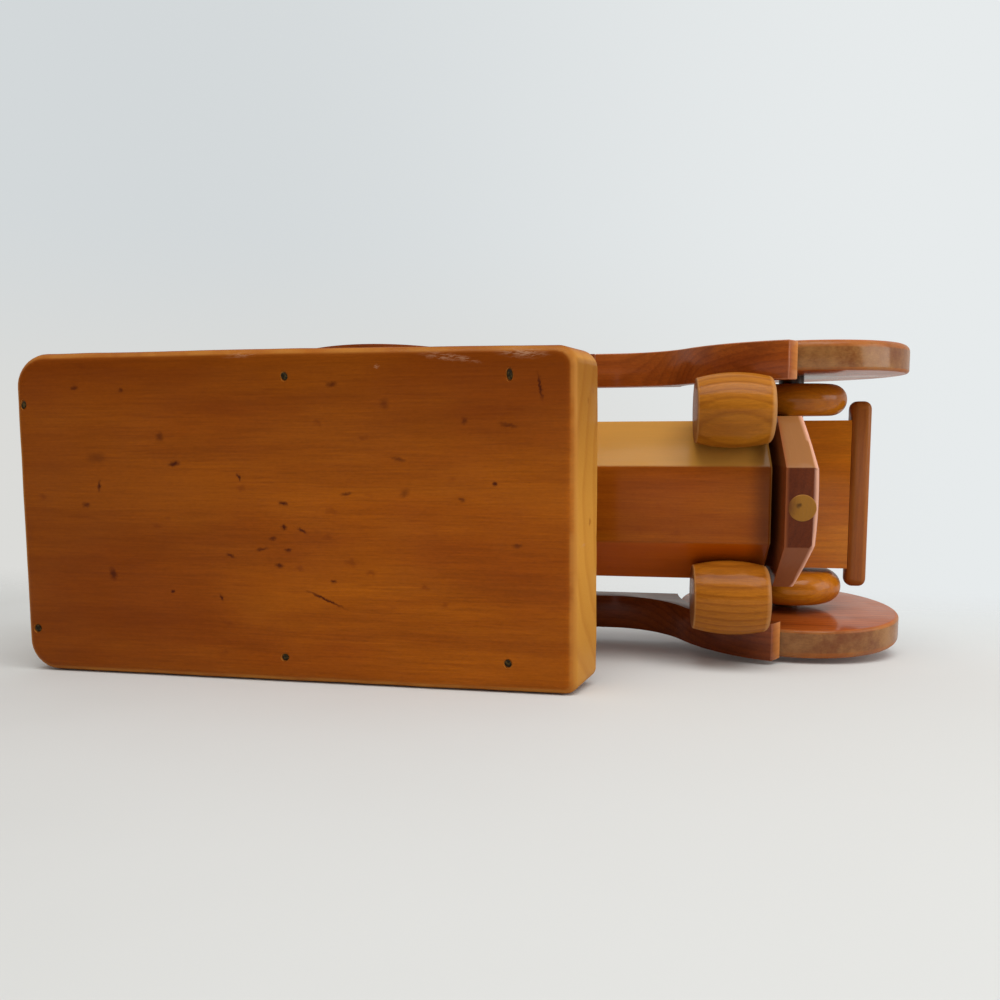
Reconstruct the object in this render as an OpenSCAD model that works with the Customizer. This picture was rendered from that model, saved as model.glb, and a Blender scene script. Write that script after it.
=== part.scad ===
// Wooden toy saloon car: glued and pinned boards, a slab roof and disc wheels on turning dowels
// X points forward, Y to the car's left, Z up. Sizes are in millimetres.
// Lengths along the car are counted from the roof's rear edge.

/* [Roof] */
// Width of the roof slab
roof_w = 102.6; // [96:0.2:108]
// Length of the roof slab along its underside
roof_len = 184.8; // [178:0.2:190]
// Thickness of the roof slab
roof_th = 19; // [16:0.5:22]
// How far the slanted front face leans back at the top
roof_slant = 7.5; // [3:0.5:10]
// Radius of the slab's two rear corners in plan
roof_rear_r = 9; // [4:0.5:12]
// Radius of the slab's two front corners in plan
roof_front_r = 4.5; // [3:0.5:12]
// Radius along the slab's long top edges
roof_edge_r = 1.8; // [1:0.1:3]
// Height of the roof's top above the ground
roof_top = 149.4; // [146:0.2:152]

/* [Chassis] */
// Width of the chassis board
chassis_w = 57.8; // [54:0.2:58]
// Thickness of the chassis board
chassis_th = 19; // [17:0.5:20]
// Height of the chassis board's top face
chassis_top = 51.1; // [50.5:0.1:51.5]
// Front end of the chassis board
chassis_front = 278.6; // [278.4:0.1:282]
// Length of the bumper bar across the car
bumper_w = 72.4; // [64:0.2:76]
// Thickness of the bumper bar
bumper_th = 7.5; // [4:0.1:8]
// Height of the bumper bar
bumper_h = 8; // [7.5:0.5:12]
// How far the bumper stands above the chassis
bumper_rise = 0.4; // [0:0.1:2]
// Radius of the bumper's ends, seen from the front
bumper_corner_r = 3.4; // [2:0.1:3.6]

/* [Wheels] */
// Radius of the disc wheels
wheel_r = 41.6; // [40:0.2:42]
// Thickness of the disc wheels
wheel_th = 10.7; // [9:0.1:12]
// Distance from the middle of the car to a wheel's inner face
wheel_in = 46.1; // [46:0.1:47]
// Radius worn on the wheels' outer rims
wheel_edge_r = 2.8; // [1:0.1:3]
// Radius left on the wheels' inner rims
wheel_inner_edge_r = 1.2; // [0.5:0.1:3]
// Place of the front axle
front_axle_x = 257.7; // [256:0.1:258]
// Place of the rear axle
rear_axle_x = 97.5; // [96:0.1:99]
// Radius of the axle dowels
axle_r = 4.75; // [4:0.05:5]
// Radial clearance of an axle in the chassis
axle_gap = 0.08; // [0.05:0.01:0.1]
// Radius of the turned hubs inside the front wheels
hub_r = 20.6; // [18:0.1:20.8]
// Thickness of the hubs
hub_th = 12.3; // [11:0.1:14]
// Radius of the hubs' round rims
hub_edge_r = 6; // [5.8:0.1:6.1]
// Radius of the turned collars inside the rear wheels
collar_r = 8; // [7:0.5:8.5]
// Radius of the collars' rims
collar_edge_r = 3; // [1:0.5:3]
// Side play between a hub and the chassis
hub_play = 1.8; // [1:0.1:1.8]

/* [Hood and radiator] */
// Height of the hood's flat top
hood_top = 95.9; // [94:0.1:98]
// Height of the hood's shoulders
hood_shoulder = 78.9; // [76:0.1:81]
// Half the width of the hood's flat top
hood_flat = 13.3; // [12:0.1:15]
// Front end of the hood
hood_front = 242; // [240:0.2:243]
// Radius worn over the hood's front edge
hood_ease = 3; // [1:0.5:5]
// Rear face of the radiator
radiator_rear = 245.1; // [244.5:0.1:246]
// Front of the radiator at its middle
radiator_front = 256.1; // [255.5:0.1:257]
// How far the radiator's front bows back at its sides
radiator_bow = 3.2; // [2:0.1:4]
// Half the radiator's width
radiator_half = 30.4; // [29.5:0.1:31]
// Height of the radiator's flat top
radiator_top = 101.9; // [100:0.1:104]
// Height of the radiator's shoulders
radiator_shoulder = 82.7; // [80:0.1:85]
// Radius of the cap plug in the radiator's top
cap_r = 4.5; // [4:0.1:4.75]

/* [Headlights] */
// Radius of a headlight barrel at its middle
lamp_r = 12.8; // [12:0.1:13.5]
// Radius of a headlight barrel at its ends
lamp_end_r = 11; // [10:0.1:11.5]
// Length of a headlight barrel
lamp_len = 25.4; // [24:0.1:26]
// Radius worn on the front rim of a headlight
lamp_front_r = 2; // [0.5:0.5:3]
// Middle of the headlight along the car
lamp_x = 228.9; // [227:0.1:229]
// Middle of the headlight from the car's centre line
lamp_y = 32.4; // [32:0.1:33.5]

/* [Fenders] */
// Inner face of the front fenders
fender_in = 42.9; // [41.5:0.1:43.5]
// Outer face of the fenders and running boards
fender_out = 56.3; // [56:0.1:58]
// Gap between a wheel's rim and its fender
fender_gap = 1.3; // [1:0.1:2]
// Thickness of a fender over the wheel
fender_th = 5.5; // [4.5:0.1:6.5]
// Top end of the left front fender, behind the axle
left_fender_end = 10.1; // [9:0.1:14]
// Top end of the right front fender, behind the axle
right_fender_end = 13.3; // [9:0.1:14]
// How far a fender's slanted end leans forward at its foot
fender_end_lean = 3.8; // [1:0.1:5]
// Outer face of the rear fenders at their crown
rear_fender_out = 57.8; // [57:0.1:59]
// Thickness of a rear fender over the wheel
rear_fender_th = 7.5; // [5:0.5:8]
// Radius that the rear fenders' outer faces are sanded to, seen from above
rear_crown_r = 300; // [250:10:600]
// Radius of the sweep from fender to running board
fender_sweep_r = 30; // [20:1:36]
// Underside of the running boards
board_bottom = 41; // [40:0.2:42]
// Top of the running boards
board_top = 49; // [48:0.2:50]

/* [Cab] */
// Half the width of the cab
cab_half = 45.5; // [44:0.1:45.5]
// Thickness of the cab floor
floor_th = 6; // [5:0.5:8]
// Thickness of the cab walls
wall_th = 8.5; // [7.5:0.1:9]
// Front end of the cab
cab_front = 169; // [168:0.5:172]
// Rear end of the cab
cab_rear = 1; // [1:0.1:2]
// Lower edge of the windows
window_sill = 93; // [92:0.5:98]
// Upper edge of the windows
window_head = 121; // [118:0.5:122]
// Radius of the window corners
window_r = 5; // [3:0.5:8]

/* [Hidden] */
$fn = 96;
eps = 1;
overall_len = front_axle_x + wheel_r;
arch_r = wheel_r + fender_gap;
axle_len = 2 * (wheel_in + wheel_th);
chassis_half = chassis_w / 2;
roof_under = roof_top - roof_th;
floor_top = chassis_top + floor_th;
hub_in = chassis_half + hub_play;
collar_th = wheel_in - hub_in;
pine = [0.80, 0.50, 0.20];
dark_pine = [0.52, 0.25, 0.13];
pale_pine = [0.85, 0.66, 0.40];
iron = [0.20, 0.17, 0.15];

// Windows of each cab side as [rear end, front end]
side_windows = [[28, 84], [98, 150]];
// Half the width of the window in the rear panel
rear_window_half = 26;
// Brad places in the roof as [along, across], as they were driven by hand
brad_places = [[4.3, 35.1], [4.4, -37.2], [92.3, 42.7], [89.8, -43.2], [160.3, 42.1], [159.4, -42.1]];
brad_head_r = 1;
brad_shank_r = 0.6;
brad_head_th = 0.5;
brad_len = 30;
// Dowels between the boards, all of one size
dowel_r = 2;
dowel_len = 16;
dowel_z = (board_bottom + board_top) / 2;
board_front = 180;
board_rear = rear_axle_x + arch_r + rear_fender_th;
board_corner_r = 4;
fender_dowel_y = 50;
// Depth of a dowel in a fender's foot
foot_dowel_in = 6;
board_dowel_x = [board_rear + 10, board_front - 10];
// Bumper brads from the middle of the car
bumper_brad_y = 16;
bumper_brad_len = 20;
bumper_top = chassis_top + bumper_rise;
bumper_z = bumper_top - bumper_h / 2;
bumper_front = chassis_front + bumper_th;
// The headlights sit on the hood's slopes, pinned along the slope's normal
slope_y = chassis_half - hood_flat;
slope_z = hood_top - hood_shoulder;
slope_len = norm([slope_y, slope_z]);
slope_normal = [slope_z / slope_len, slope_y / slope_len];
lamp_flat = 0.2;
lamp_z = hood_shoulder + (lamp_r - lamp_flat - (lamp_y - chassis_half) * slope_normal[0]) / slope_normal[1];
lamp_tilt = atan2(slope_normal[0], slope_normal[1]);
lamp_arc_r = (pow(lamp_len / 2, 2) + pow(lamp_r - lamp_end_r, 2)) / (2 * (lamp_r - lamp_end_r));
// The worn front rim ends on the barrel's arc
lamp_rim_y = lamp_len / 2 - lamp_front_r;
lamp_rim_x = lamp_r - lamp_arc_r - lamp_front_r + sqrt(pow(lamp_arc_r, 2) - pow(lamp_rim_y, 2));
lamp_pin_r = 2.4;
lamp_pin_in = 10;
lamp_pin_out = 8;
radiator_bow_r = (pow(radiator_half, 2) + pow(radiator_bow, 2)) / (2 * radiator_bow);
cap_x = (radiator_rear + radiator_front) / 2;
cap_len = 14;

// Moves a piece from lengths counted from the roof's rear edge to the car's own frame
module place() {
    translate([-overall_len / 2, 0, 0]) children();
}

// Copies a left-hand piece to the car's right side
module right_side() {
    mirror([0, 1, 0]) children();
}

// Rectangle between two corners with round corners of true arcs
module rounded_rect(low, high, r) {
    translate([low[0] + r, low[1]]) square([high[0] - low[0] - 2 * r, high[1] - low[1]]);
    translate([low[0], low[1] + r]) square([high[0] - low[0], high[1] - low[1] - 2 * r]);
    for (x = [low[0] + r, high[0] - r])
        for (y = [low[1] + r, high[1] - r])
            translate([x, y]) circle(r);
}

// Extrudes an outline drawn as [along, up] across the car, from y0 to y1
module across(y0, y1) {
    translate([0, y1, 0]) rotate([90, 0, 0]) linear_extrude(y1 - y0) children();
}

// Extrudes an outline drawn as [across, up] along the car, from x0 to x1
module along(x0, x1) {
    translate([x0, 0, 0]) rotate([90, 0, 90]) linear_extrude(x1 - x0) children();
}

// Cylinder across the car, from y0 to y1, at a place along it and a height
module cross_pin(x, z, r, y0, y1) {
    translate([x, y1, z]) rotate([90, 0, 0]) cylinder(r = r, h = y1 - y0);
}

// Cylinder along the car, from x0 to x1
module long_pin(y, z, r, x0, x1) {
    translate([x0, y, z]) rotate([0, 90, 0]) cylinder(r = r, h = x1 - x0);
}

// Turns a profile drawn as [radius, across] about an axle, starting at y0
module turned(x, y0) {
    translate([x, y0, wheel_r]) rotate([-90, 0, 0]) rotate_extrude() children();
}

// Half section of a disc bored for its axle, with its inner and its outer rim rounded
module disc_section(r, th, inner_edge, outer_edge, bore) {
    difference() {
        union() {
            translate([0, inner_edge]) square([r, th - inner_edge - outer_edge]);
            square([r - inner_edge, th - outer_edge]);
            translate([0, inner_edge]) square([r - outer_edge, th - inner_edge]);
            translate([r - inner_edge, inner_edge]) circle(inner_edge);
            translate([r - outer_edge, th - outer_edge]) circle(outer_edge);
        }
        translate([-r, -eps]) square([r + bore, th + 2 * eps]);
    }
}

// Board dowels: four join fenders to running boards, four join running boards to the chassis
module dowel_set() {
    for (side = [1, -1]) {
        for (x = [board_rear - foot_dowel_in, board_front + foot_dowel_in - dowel_len])
            long_pin(side * fender_dowel_y, dowel_z, dowel_r, x, x + dowel_len);
        for (x = board_dowel_x)
            cross_pin(x, dowel_z, dowel_r, side * chassis_half - dowel_len / 2,
                side * chassis_half + dowel_len / 2);
    }
}

module chassis() {
    color(pine) place() difference() {
        along(cab_rear, chassis_front)
            translate([-chassis_half, chassis_top - chassis_th]) square([chassis_w, chassis_th]);
        for (x = [front_axle_x, rear_axle_x])
            cross_pin(x, wheel_r, axle_r + axle_gap, -chassis_w, chassis_w);
        dowel_set();
        bumper_brad_set();
    }
}

module cab_floor() {
    color(pine) place()
        translate([cab_rear, -cab_half, chassis_top])
            cube([cab_front - cab_rear, 2 * cab_half, floor_th]);
}

// Cab wall with its two window openings: side is 1 for the left wall and -1 for the right one
module cab_side(side) {
    middle_y = side * (cab_half - wall_th / 2);
    difference() {
        across(middle_y - wall_th / 2, middle_y + wall_th / 2)
            difference() {
                translate([cab_rear + wall_th, floor_top])
                    square([cab_front - cab_rear - wall_th, roof_under - floor_top]);
                for (w = side_windows)
                    rounded_rect([w[0], window_sill], [w[1], window_head], window_r);
            }
        brad_set();
    }
}

module cab_side_left() {
    color(pine) place() cab_side(1);
}

module cab_side_right() {
    color(pine) place() cab_side(-1);
}

module cab_rear_panel() {
    color(pine) place() difference() {
        along(cab_rear, cab_rear + wall_th)
            difference() {
                translate([-cab_half, floor_top]) square([2 * cab_half, roof_under - floor_top]);
                rounded_rect([-rear_window_half, window_sill], [rear_window_half, window_head], window_r);
            }
        brad_set();
    }
}

// Panel between the cab walls that closes the rear of the hood
module dash_panel() {
    color(pine) place()
        translate([cab_front - wall_th, -cab_half + wall_th, floor_top])
            cube([wall_th, 2 * (cab_half - wall_th), hood_top - floor_top]);
}

// Side view of the roof slab, with its slanted front face
module roof_side_view() {
    difference() {
        rounded_rect([0, roof_under], [roof_len, roof_top], roof_edge_r);
        polygon([
            [roof_len - roof_slant, roof_top],
            [roof_len, roof_under + roof_edge_r],
            [roof_len + eps, roof_under + roof_edge_r],
            [roof_len + eps, roof_top + eps],
            [roof_len - roof_slant, roof_top + eps]
        ]);
    }
}

// Outline of the roof slab in plan: wide round corners at the rear, small ones at the front
module roof_plan() {
    half = roof_w / 2;
    rear_x = roof_rear_r;
    front_x = roof_len - roof_front_r;
    translate([rear_x, -half]) square([front_x - rear_x, roof_w]);
    translate([0, roof_rear_r - half]) square([roof_len / 2, roof_w - 2 * roof_rear_r]);
    translate([roof_len / 2, roof_front_r - half]) square([roof_len / 2, roof_w - 2 * roof_front_r]);
    for (side = [1, -1]) {
        translate([rear_x, side * (half - roof_rear_r)]) circle(roof_rear_r);
        translate([front_x, side * (half - roof_front_r)]) circle(roof_front_r);
    }
}

module roof() {
    color(pine) place() difference() {
        intersection() {
            across(-roof_w, roof_w) roof_side_view();
            along(-eps, roof_len + eps)
                rounded_rect([-roof_w / 2, roof_under], [roof_w / 2, roof_top], roof_edge_r);
            translate([0, 0, roof_under - eps]) linear_extrude(roof_th + 2 * eps) roof_plan();
        }
        brad_set();
    }
}

// Six brads driven down through the roof into the cab walls
module brad_set() {
    for (p = brad_places)
        translate([p[0], p[1], roof_top]) {
            translate([0, 0, -brad_len]) cylinder(r = brad_shank_r, h = brad_len);
            translate([0, 0, -brad_head_th]) cylinder(r = brad_head_r, h = brad_head_th);
        }
}

module roof_brads() {
    color(iron) place() brad_set();
}

// Hood block: upright sides, two slopes and a flat top, eased over its front edge
module hood() {
    color(pine) place() difference() {
        intersection() {
            along(cab_front, hood_front)
                polygon([
                    [-chassis_half, chassis_top], [chassis_half, chassis_top],
                    [chassis_half, hood_shoulder], [hood_flat, hood_top],
                    [-hood_flat, hood_top], [-chassis_half, hood_shoulder]
                ]);
            across(-chassis_w, chassis_w) union() {
                translate([cab_front, chassis_top])
                    square([hood_front - cab_front - hood_ease, hood_top - chassis_top]);
                translate([cab_front, chassis_top])
                    square([hood_front - cab_front, hood_top - chassis_top - hood_ease]);
                translate([hood_front - hood_ease, hood_top - hood_ease]) circle(hood_ease);
            }
        }
        pin_set();
    }
}

// Radiator board: shouldered outline with a front that bows forward
module radiator() {
    color(dark_pine) place() difference() {
        intersection() {
            along(radiator_rear, radiator_front)
                polygon([
                    [-radiator_half, chassis_top], [radiator_half, chassis_top],
                    [radiator_half, radiator_shoulder], [hood_flat, radiator_top],
                    [-hood_flat, radiator_top], [-radiator_half, radiator_shoulder]
                ]);
            translate([radiator_front - radiator_bow_r, 0, chassis_top])
                cylinder(r = radiator_bow_r, h = radiator_top - chassis_top, $fn = 240);
        }
        translate([cap_x, 0, radiator_top - cap_len]) cylinder(r = cap_r, h = cap_len + eps);
    }
}

module radiator_cap() {
    color(pale_pine) place()
        translate([cap_x, 0, radiator_top - cap_len]) cylinder(r = cap_r, h = cap_len);
}

// Short dowels along the normal of each hood slope, into the headlights
module pin_set() {
    for (side = [1, -1])
        translate([lamp_x, side * lamp_y, lamp_z]) rotate([-side * lamp_tilt, 0, 0])
            translate([0, 0, -lamp_r + lamp_flat - lamp_pin_in])
                cylinder(r = lamp_pin_r, h = lamp_pin_in + lamp_pin_out);
}

module headlight_pins() {
    color(pale_pine) place() pin_set();
}

// Half section of a headlight barrel as [radius, along], its front rim worn round
module lamp_section() {
    front_y = lamp_len - lamp_front_r;
    intersection() {
        translate([lamp_r - lamp_arc_r, lamp_len / 2]) circle(lamp_arc_r, $fn = 360);
        union() {
            square([lamp_r, front_y]);
            square([lamp_rim_x, lamp_len]);
            translate([lamp_rim_x, front_y]) circle(lamp_front_r);
        }
    }
}

// Left headlight: a turned barrel with a small flat where it is glued to the hood
module headlight() {
    difference() {
        translate([lamp_x - lamp_len / 2, lamp_y, lamp_z]) rotate([0, 90, 0]) rotate_extrude()
            intersection() {
                translate([0, -eps]) square(2 * lamp_len);
                lamp_section();
            }
        translate([lamp_x, lamp_y, lamp_z]) rotate([-lamp_tilt, 0, 0])
            translate([-lamp_len, -lamp_len, -lamp_r + lamp_flat - lamp_len])
                cube([2 * lamp_len, 2 * lamp_len, lamp_len]);
        pin_set();
    }
}

module headlight_left() {
    color(pine) place() headlight();
}

module headlight_right() {
    color(pine) place() right_side() headlight();
}

module front_bumper() {
    color(dark_pine) place() difference() {
        along(chassis_front, bumper_front)
            rounded_rect([-bumper_w / 2, bumper_top - bumper_h], [bumper_w / 2, bumper_top],
                bumper_corner_r);
        bumper_brad_set();
    }
}

// Two brads through the bumper into the end of the chassis
module bumper_brad_set() {
    for (y = [-bumper_brad_y, bumper_brad_y]) {
        long_pin(y, bumper_z, brad_shank_r, bumper_front - bumper_brad_len, bumper_front);
        long_pin(y, bumper_z, brad_head_r, bumper_front - brad_head_th, bumper_front);
    }
}

module bumper_brads() {
    color(iron) place() bumper_brad_set();
}

// Arch over a wheel, from the height of the running board's underside up
module arch(axle_x, th) {
    outer = arch_r + th;
    difference() {
        translate([axle_x, wheel_r]) circle(outer, $fn = 180);
        translate([axle_x, wheel_r]) circle(arch_r, $fn = 180);
        translate([axle_x - 2 * outer, board_bottom - 4 * outer]) square(4 * outer);
    }
}

// Side view of a front fender: tail, hollow sweep and arch, with its slanted end behind the wheel's top
module front_fender_view(fender_end) {
    outer = arch_r + fender_th;
    rise = board_top + fender_sweep_r - wheel_r;
    sweep_x = front_axle_x - sqrt(pow(outer + fender_sweep_r, 2) - pow(rise, 2));
    // The arch and the hollow sweep touch in this point
    share = outer / (outer + fender_sweep_r);
    meet_x = front_axle_x + (sweep_x - front_axle_x) * share;
    meet_z = wheel_r + rise * share;
    // The slanted end runs from the outer arc down to the inner one
    top_back = fender_end;
    foot_back = fender_end - fender_end_lean;
    top = [front_axle_x - top_back, wheel_r + sqrt(pow(outer, 2) - pow(top_back, 2))];
    foot = [front_axle_x - foot_back, wheel_r + sqrt(pow(arch_r, 2) - pow(foot_back, 2))];
    above = top - (foot - top) / 4;
    below = foot + (foot - top) / 4;
    difference() {
        arch(front_axle_x, fender_th);
        polygon([
            above, below, [below[0], 0], [front_axle_x + 2 * outer, 0],
            [front_axle_x + 2 * outer, 2 * outer], [above[0], 2 * outer]
        ]);
    }
    difference() {
        translate([board_front, board_bottom]) square([meet_x + eps - board_front, meet_z - board_bottom]);
        translate([board_front - eps, board_top]) square([sweep_x - board_front + eps, meet_z]);
        translate([sweep_x, board_top + fender_sweep_r]) circle(fender_sweep_r, $fn = 180);
        translate([front_axle_x, wheel_r]) circle(arch_r, $fn = 180);
    }
}

module front_fender(fender_end) {
    difference() {
        across(fender_in, fender_out) front_fender_view(fender_end);
        dowel_set();
    }
}

module front_fender_left() {
    color(dark_pine) place() front_fender(left_fender_end);
}

module front_fender_right() {
    color(dark_pine) place() right_side() front_fender(right_fender_end);
}

// Rear fender: an arch glued to the cab side, standing on the running board's end, sanded to a crown
module rear_fender() {
    difference() {
        intersection() {
            across(cab_half, rear_fender_out) arch(rear_axle_x, rear_fender_th);
            translate([rear_axle_x, rear_fender_out - rear_crown_r, 0])
                cylinder(r = rear_crown_r, h = 3 * wheel_r, $fn = 720);
        }
        dowel_set();
    }
}

module rear_fender_left() {
    color(dark_pine) place() rear_fender();
}

module rear_fender_right() {
    color(dark_pine) place() right_side() rear_fender();
}

// Running board, with its rear outer corner rounded down to the rear fender's foot
module running_board() {
    difference() {
        translate([0, 0, board_bottom]) linear_extrude(board_top - board_bottom) {
            translate([board_rear, chassis_half])
                square([board_front - board_rear, fender_out - board_corner_r - chassis_half]);
            translate([board_rear + board_corner_r, chassis_half])
                square([board_front - board_rear - board_corner_r, fender_out - chassis_half]);
            translate([board_rear + board_corner_r, fender_out - board_corner_r]) circle(board_corner_r);
        }
        dowel_set();
    }
}

module running_board_left() {
    color(dark_pine) place() running_board();
}

module running_board_right() {
    color(dark_pine) place() right_side() running_board();
}

module board_dowels() {
    color(pale_pine) place() dowel_set();
}

// Dowel axle that runs right through the chassis and both wheels
module axle(x) {
    color(pale_pine) place() cross_pin(x, wheel_r, axle_r, -axle_len / 2, axle_len / 2);
}

module wheel(x) {
    color(dark_pine) turned(x, wheel_in)
        disc_section(wheel_r, wheel_th, wheel_inner_edge_r, wheel_edge_r, axle_r);
}

// Fat turned hub with a round rim, glued on the axle just inside a front wheel
module hub(x) {
    color(pine) turned(x, hub_in) disc_section(hub_r, hub_th, hub_edge_r, hub_edge_r, axle_r);
}

module collar(x) {
    color(pale_pine) turned(x, hub_in)
        disc_section(collar_r, collar_th, collar_edge_r, collar_edge_r, axle_r);
}

module front_axle() { axle(front_axle_x); }
module rear_axle() { axle(rear_axle_x); }
module front_wheel_left() { place() wheel(front_axle_x); }
module front_wheel_right() { place() right_side() wheel(front_axle_x); }
module rear_wheel_left() { place() wheel(rear_axle_x); }
module rear_wheel_right() { place() right_side() wheel(rear_axle_x); }
module front_hub_left() { place() hub(front_axle_x); }
module front_hub_right() { place() right_side() hub(front_axle_x); }
module rear_collar_left() { place() collar(rear_axle_x); }
module rear_collar_right() { place() right_side() collar(rear_axle_x); }

chassis();
cab_floor();
cab_side_left();
cab_side_right();
cab_rear_panel();
dash_panel();
roof();
roof_brads();
hood();
radiator();
radiator_cap();
headlight_left();
headlight_right();
headlight_pins();
front_bumper();
bumper_brads();
front_fender_left();
front_fender_right();
rear_fender_left();
rear_fender_right();
running_board_left();
running_board_right();
board_dowels();
front_axle();
front_wheel_left();
front_wheel_right();
front_hub_left();
front_hub_right();
rear_axle();
rear_wheel_left();
rear_wheel_right();
rear_collar_left();
rear_collar_right();
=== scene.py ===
# %% [markdown]
# A wooden toy saloon car, lying on its right side while the camera looks down on its roof.
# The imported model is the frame: it says where each board, block and wheel is. Each cell below makes
# one piece or one finish over that frame, in metres.

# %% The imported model
from math import atan2, cos, degrees, pi, radians, sin, sqrt

import bmesh
import bpy
from mathutils import Matrix, Vector


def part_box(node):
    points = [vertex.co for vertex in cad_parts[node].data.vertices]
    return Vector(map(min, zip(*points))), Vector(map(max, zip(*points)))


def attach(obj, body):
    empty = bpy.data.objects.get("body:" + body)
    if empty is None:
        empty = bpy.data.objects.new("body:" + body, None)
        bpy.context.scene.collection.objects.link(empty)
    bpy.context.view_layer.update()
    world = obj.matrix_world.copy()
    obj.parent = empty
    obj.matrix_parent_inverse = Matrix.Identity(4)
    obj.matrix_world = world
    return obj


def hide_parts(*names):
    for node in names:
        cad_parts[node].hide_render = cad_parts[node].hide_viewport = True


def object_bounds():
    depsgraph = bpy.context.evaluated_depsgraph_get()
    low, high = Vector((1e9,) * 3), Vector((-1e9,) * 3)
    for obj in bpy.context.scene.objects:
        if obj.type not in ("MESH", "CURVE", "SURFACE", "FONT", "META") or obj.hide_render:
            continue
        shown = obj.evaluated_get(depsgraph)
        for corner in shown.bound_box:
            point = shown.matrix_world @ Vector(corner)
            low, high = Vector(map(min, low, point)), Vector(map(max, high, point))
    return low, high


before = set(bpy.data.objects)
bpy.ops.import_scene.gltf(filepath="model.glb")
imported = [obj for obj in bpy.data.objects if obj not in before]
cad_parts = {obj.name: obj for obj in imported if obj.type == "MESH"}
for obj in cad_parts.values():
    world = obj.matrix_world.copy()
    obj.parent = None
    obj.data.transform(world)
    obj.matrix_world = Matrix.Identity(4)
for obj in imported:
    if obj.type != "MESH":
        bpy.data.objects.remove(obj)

MM = 0.001
ALONG = Vector((1, 0, 0))
ACROSS = Vector((0, 1, 0))
UP = Vector((0, 0, 1))
cad_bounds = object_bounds()
roof_low, roof_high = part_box("roof")

# %% [markdown]
# The photograph was taken close to the roof with a wide lens, so near parts look large and the hood
# seems small. A long lens from far away would show the same car with other proportions, so the
# camera keeps the real distance: about 220 mm from the roof.

# %% Camera
CAMERA_PLACE = Vector((44.1, 27.7, 369.8)) * MM
CAMERA_TARGET = Vector((7.7, 6.3, 149.4)) * MM
CAMERA_ROLL = radians(-0.34)
LENS = 28
FILM_WIDTH = 36
NEAR_CLIP = 10 * MM
back = (CAMERA_PLACE - CAMERA_TARGET).normalized()
right = ACROSS.cross(back).normalized()
turned_axes = Matrix((right, back.cross(right), back)).transposed() @ Matrix.Rotation(CAMERA_ROLL, 3, "Z")
camera_data = bpy.data.cameras.new("camera")
camera_data.lens = LENS
camera_data.sensor_width = FILM_WIDTH
camera_data.clip_start = NEAR_CLIP
camera = bpy.data.objects.new("camera", camera_data)
camera.matrix_world = Matrix.Translation(CAMERA_PLACE) @ turned_axes.to_4x4()
bpy.context.scene.collection.objects.link(camera)
bpy.context.scene.camera = camera
print("camera is", round((CAMERA_PLACE - CAMERA_TARGET).length / MM), "mm from the roof")

# %% [markdown]
# Shader maths reads best as plain expressions. A small class wraps a node's output, and its
# operators add Math nodes. Every other kind of node comes from one method, `Nodes.add`, which takes
# the node's type, its settings and the values or links of its sockets.


# %% Sockets as expressions
class Value:
    """An output of a node. Arithmetic on it adds Math nodes to the same tree."""

    def __init__(self, nodes, output):
        self.nodes = nodes
        self.output = output

    def maths(self, operation, *others):
        return self.nodes.add("ShaderNodeMath", {"operation": operation}, dict(enumerate((self, *others))))

    def __add__(self, other):
        return self.maths("ADD", other)

    def __radd__(self, other):
        return self.maths("ADD", other)

    def __mul__(self, other):
        return self.maths("MULTIPLY", other)

    def __rmul__(self, other):
        return self.maths("MULTIPLY", other)

    def __sub__(self, other):
        return self.maths("SUBTRACT", other)

    def __rsub__(self, other):
        return self.nodes.add("ShaderNodeMath", {"operation": "SUBTRACT"}, {0: other, 1: self})

    def __truediv__(self, other):
        return self.maths("DIVIDE", other)

    def between(self, low, high):
        """0 below low, 1 above high and smooth between them. With high below low it falls instead."""
        return self.nodes.add("ShaderNodeMapRange", {"interpolation_type": "SMOOTHSTEP"},
                              {"Value": self, "From Min": low, "From Max": high})


class Nodes:
    """A node tree under construction."""

    def __init__(self, tree):
        self.tree = tree

    def add(self, kind, settings=None, inputs=None, output=0):
        node = self.tree.nodes.new(kind)
        for key, value in (settings or {}).items():
            if key == "stops":
                self.set_stops(node.color_ramp, value)
            else:
                setattr(node, key, value)
        for key, value in (inputs or {}).items():
            self.feed(node.inputs[key], value)
        return Value(self, node.outputs[output])

    def feed(self, socket, value):
        if isinstance(value, Value):
            self.tree.links.new(value.output, socket)
        else:
            socket.default_value = value

    def set_stops(self, ramp, stops):
        while len(ramp.elements) < len(stops):
            ramp.elements.new(1.0)
        for element, (position, grey) in zip(ramp.elements, stops):
            element.position = position
            element.color = (grey, grey, grey, 1)

    def mix(self, factor, first, second, blend="MIX"):
        return self.add("ShaderNodeMix", {"data_type": "RGBA", "blend_type": blend, "clamp_factor": True},
                        {0: factor, 6: first, 7: second}, 2)

    def vectors(self, operation, *vectors):
        return self.add("ShaderNodeVectorMath", {"operation": operation}, dict(enumerate(vectors)))

    def length(self, vector):
        return self.add("ShaderNodeVectorMath", {"operation": "LENGTH"}, {0: vector}, "Value")

    def parts(self, vector):
        node = self.tree.nodes.new("ShaderNodeSeparateXYZ")
        self.feed(node.inputs[0], vector)
        return [Value(self, output) for output in node.outputs]


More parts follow.
